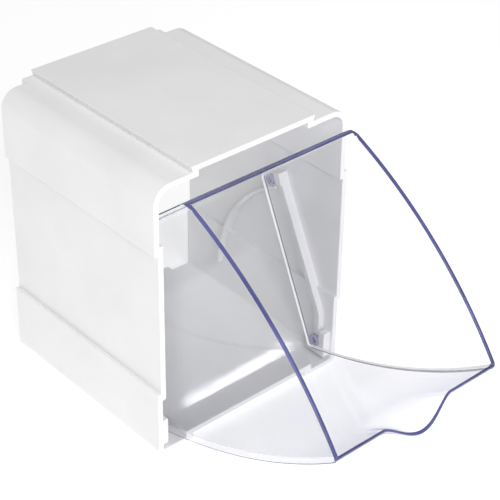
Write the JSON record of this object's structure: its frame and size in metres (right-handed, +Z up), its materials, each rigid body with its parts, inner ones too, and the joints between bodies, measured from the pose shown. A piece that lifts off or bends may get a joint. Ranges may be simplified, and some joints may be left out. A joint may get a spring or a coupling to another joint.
{
  "type": "modular tilt-out bin dispenser",
  "caption": "Open-ended white housing with interlocking dovetail rails and a clear bin that tilts out on side pegs to a stop.",
  "frame": {"origin": "bottom centre of the module's box with the bin open: x and y at the middle of the box, z on the surface that it stands on", "axes": "+X to the right seen from the front, -Y out of the mouth that the bin tilts through, +Z up"},
  "size_m": [0.1502, 0.2978, 0.194],
  "materials": {
    "housing_plastic": "satin moulded plastic, light neutral white",
    "clear_plastic": "polished clear plastic with blue-violet edges"
  },
  "bodies": {
    "housing_body": {"housing": "housing_plastic", "left_pivot_socket": "housing_plastic", "right_pivot_socket": "housing_plastic", "left_stop_rail": "housing_plastic", "right_stop_rail": "housing_plastic", "left_arc_rail": "housing_plastic", "right_arc_rail": "housing_plastic"},
    "bin_body": {"clear_bin": "clear_plastic", "left_pivot_peg": "clear_plastic", "right_pivot_peg": "clear_plastic", "left_guide_peg": "clear_plastic", "right_guide_peg": "clear_plastic"}
  },
  "joints": [
    {"name": "bin_tilt", "type": "hinge", "parent": "housing_body", "child": "bin_body", "pos_m": [-0.0011, 0.00592, 0.015], "axis": [-1, 0, 0], "range_deg": [0, 62]}
  ]
}
